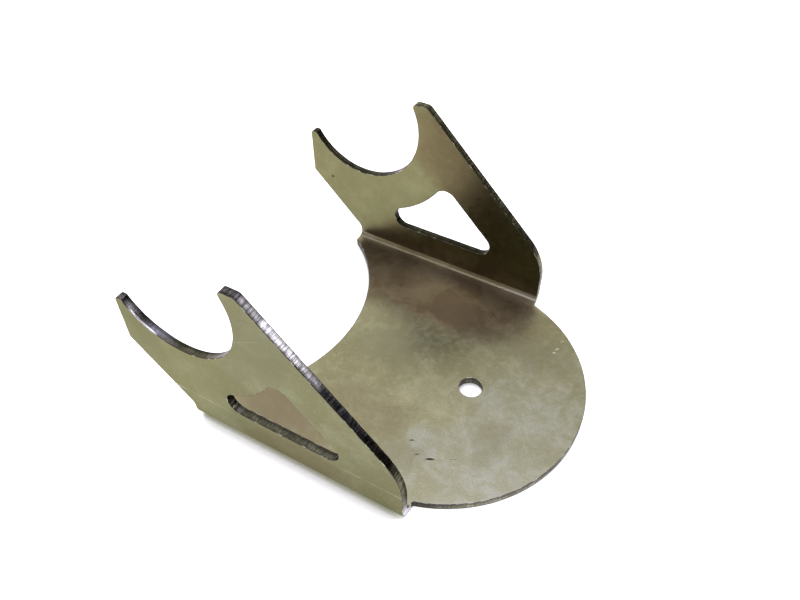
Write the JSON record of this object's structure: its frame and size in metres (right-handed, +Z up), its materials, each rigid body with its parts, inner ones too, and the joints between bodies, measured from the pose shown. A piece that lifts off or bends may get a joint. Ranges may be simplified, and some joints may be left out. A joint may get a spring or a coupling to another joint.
{
  "type": "axle mount bracket",
  "caption": "Folded sheet-metal bracket: a round seat plate with a bolt hole, and a windowed ear on each side whose saddle fits an axle tube.",
  "frame": {"origin": "centre of the bolt hole, on the underside of the seat plate", "axes": "+X along the folds, away from the axle; +Y across the part, from ear to ear; +Z up, along the bolt hole"},
  "size_m": [0.2231, 0.1778, 0.117],
  "materials": {
    "mill_steel": "bare hot-rolled mill finish, semi-gloss, cloudy grey-olive, with darker laser-cut edges"
  },
  "bodies": {
    "root": {"bracket": "mill_steel"}
  },
  "joints": []
}
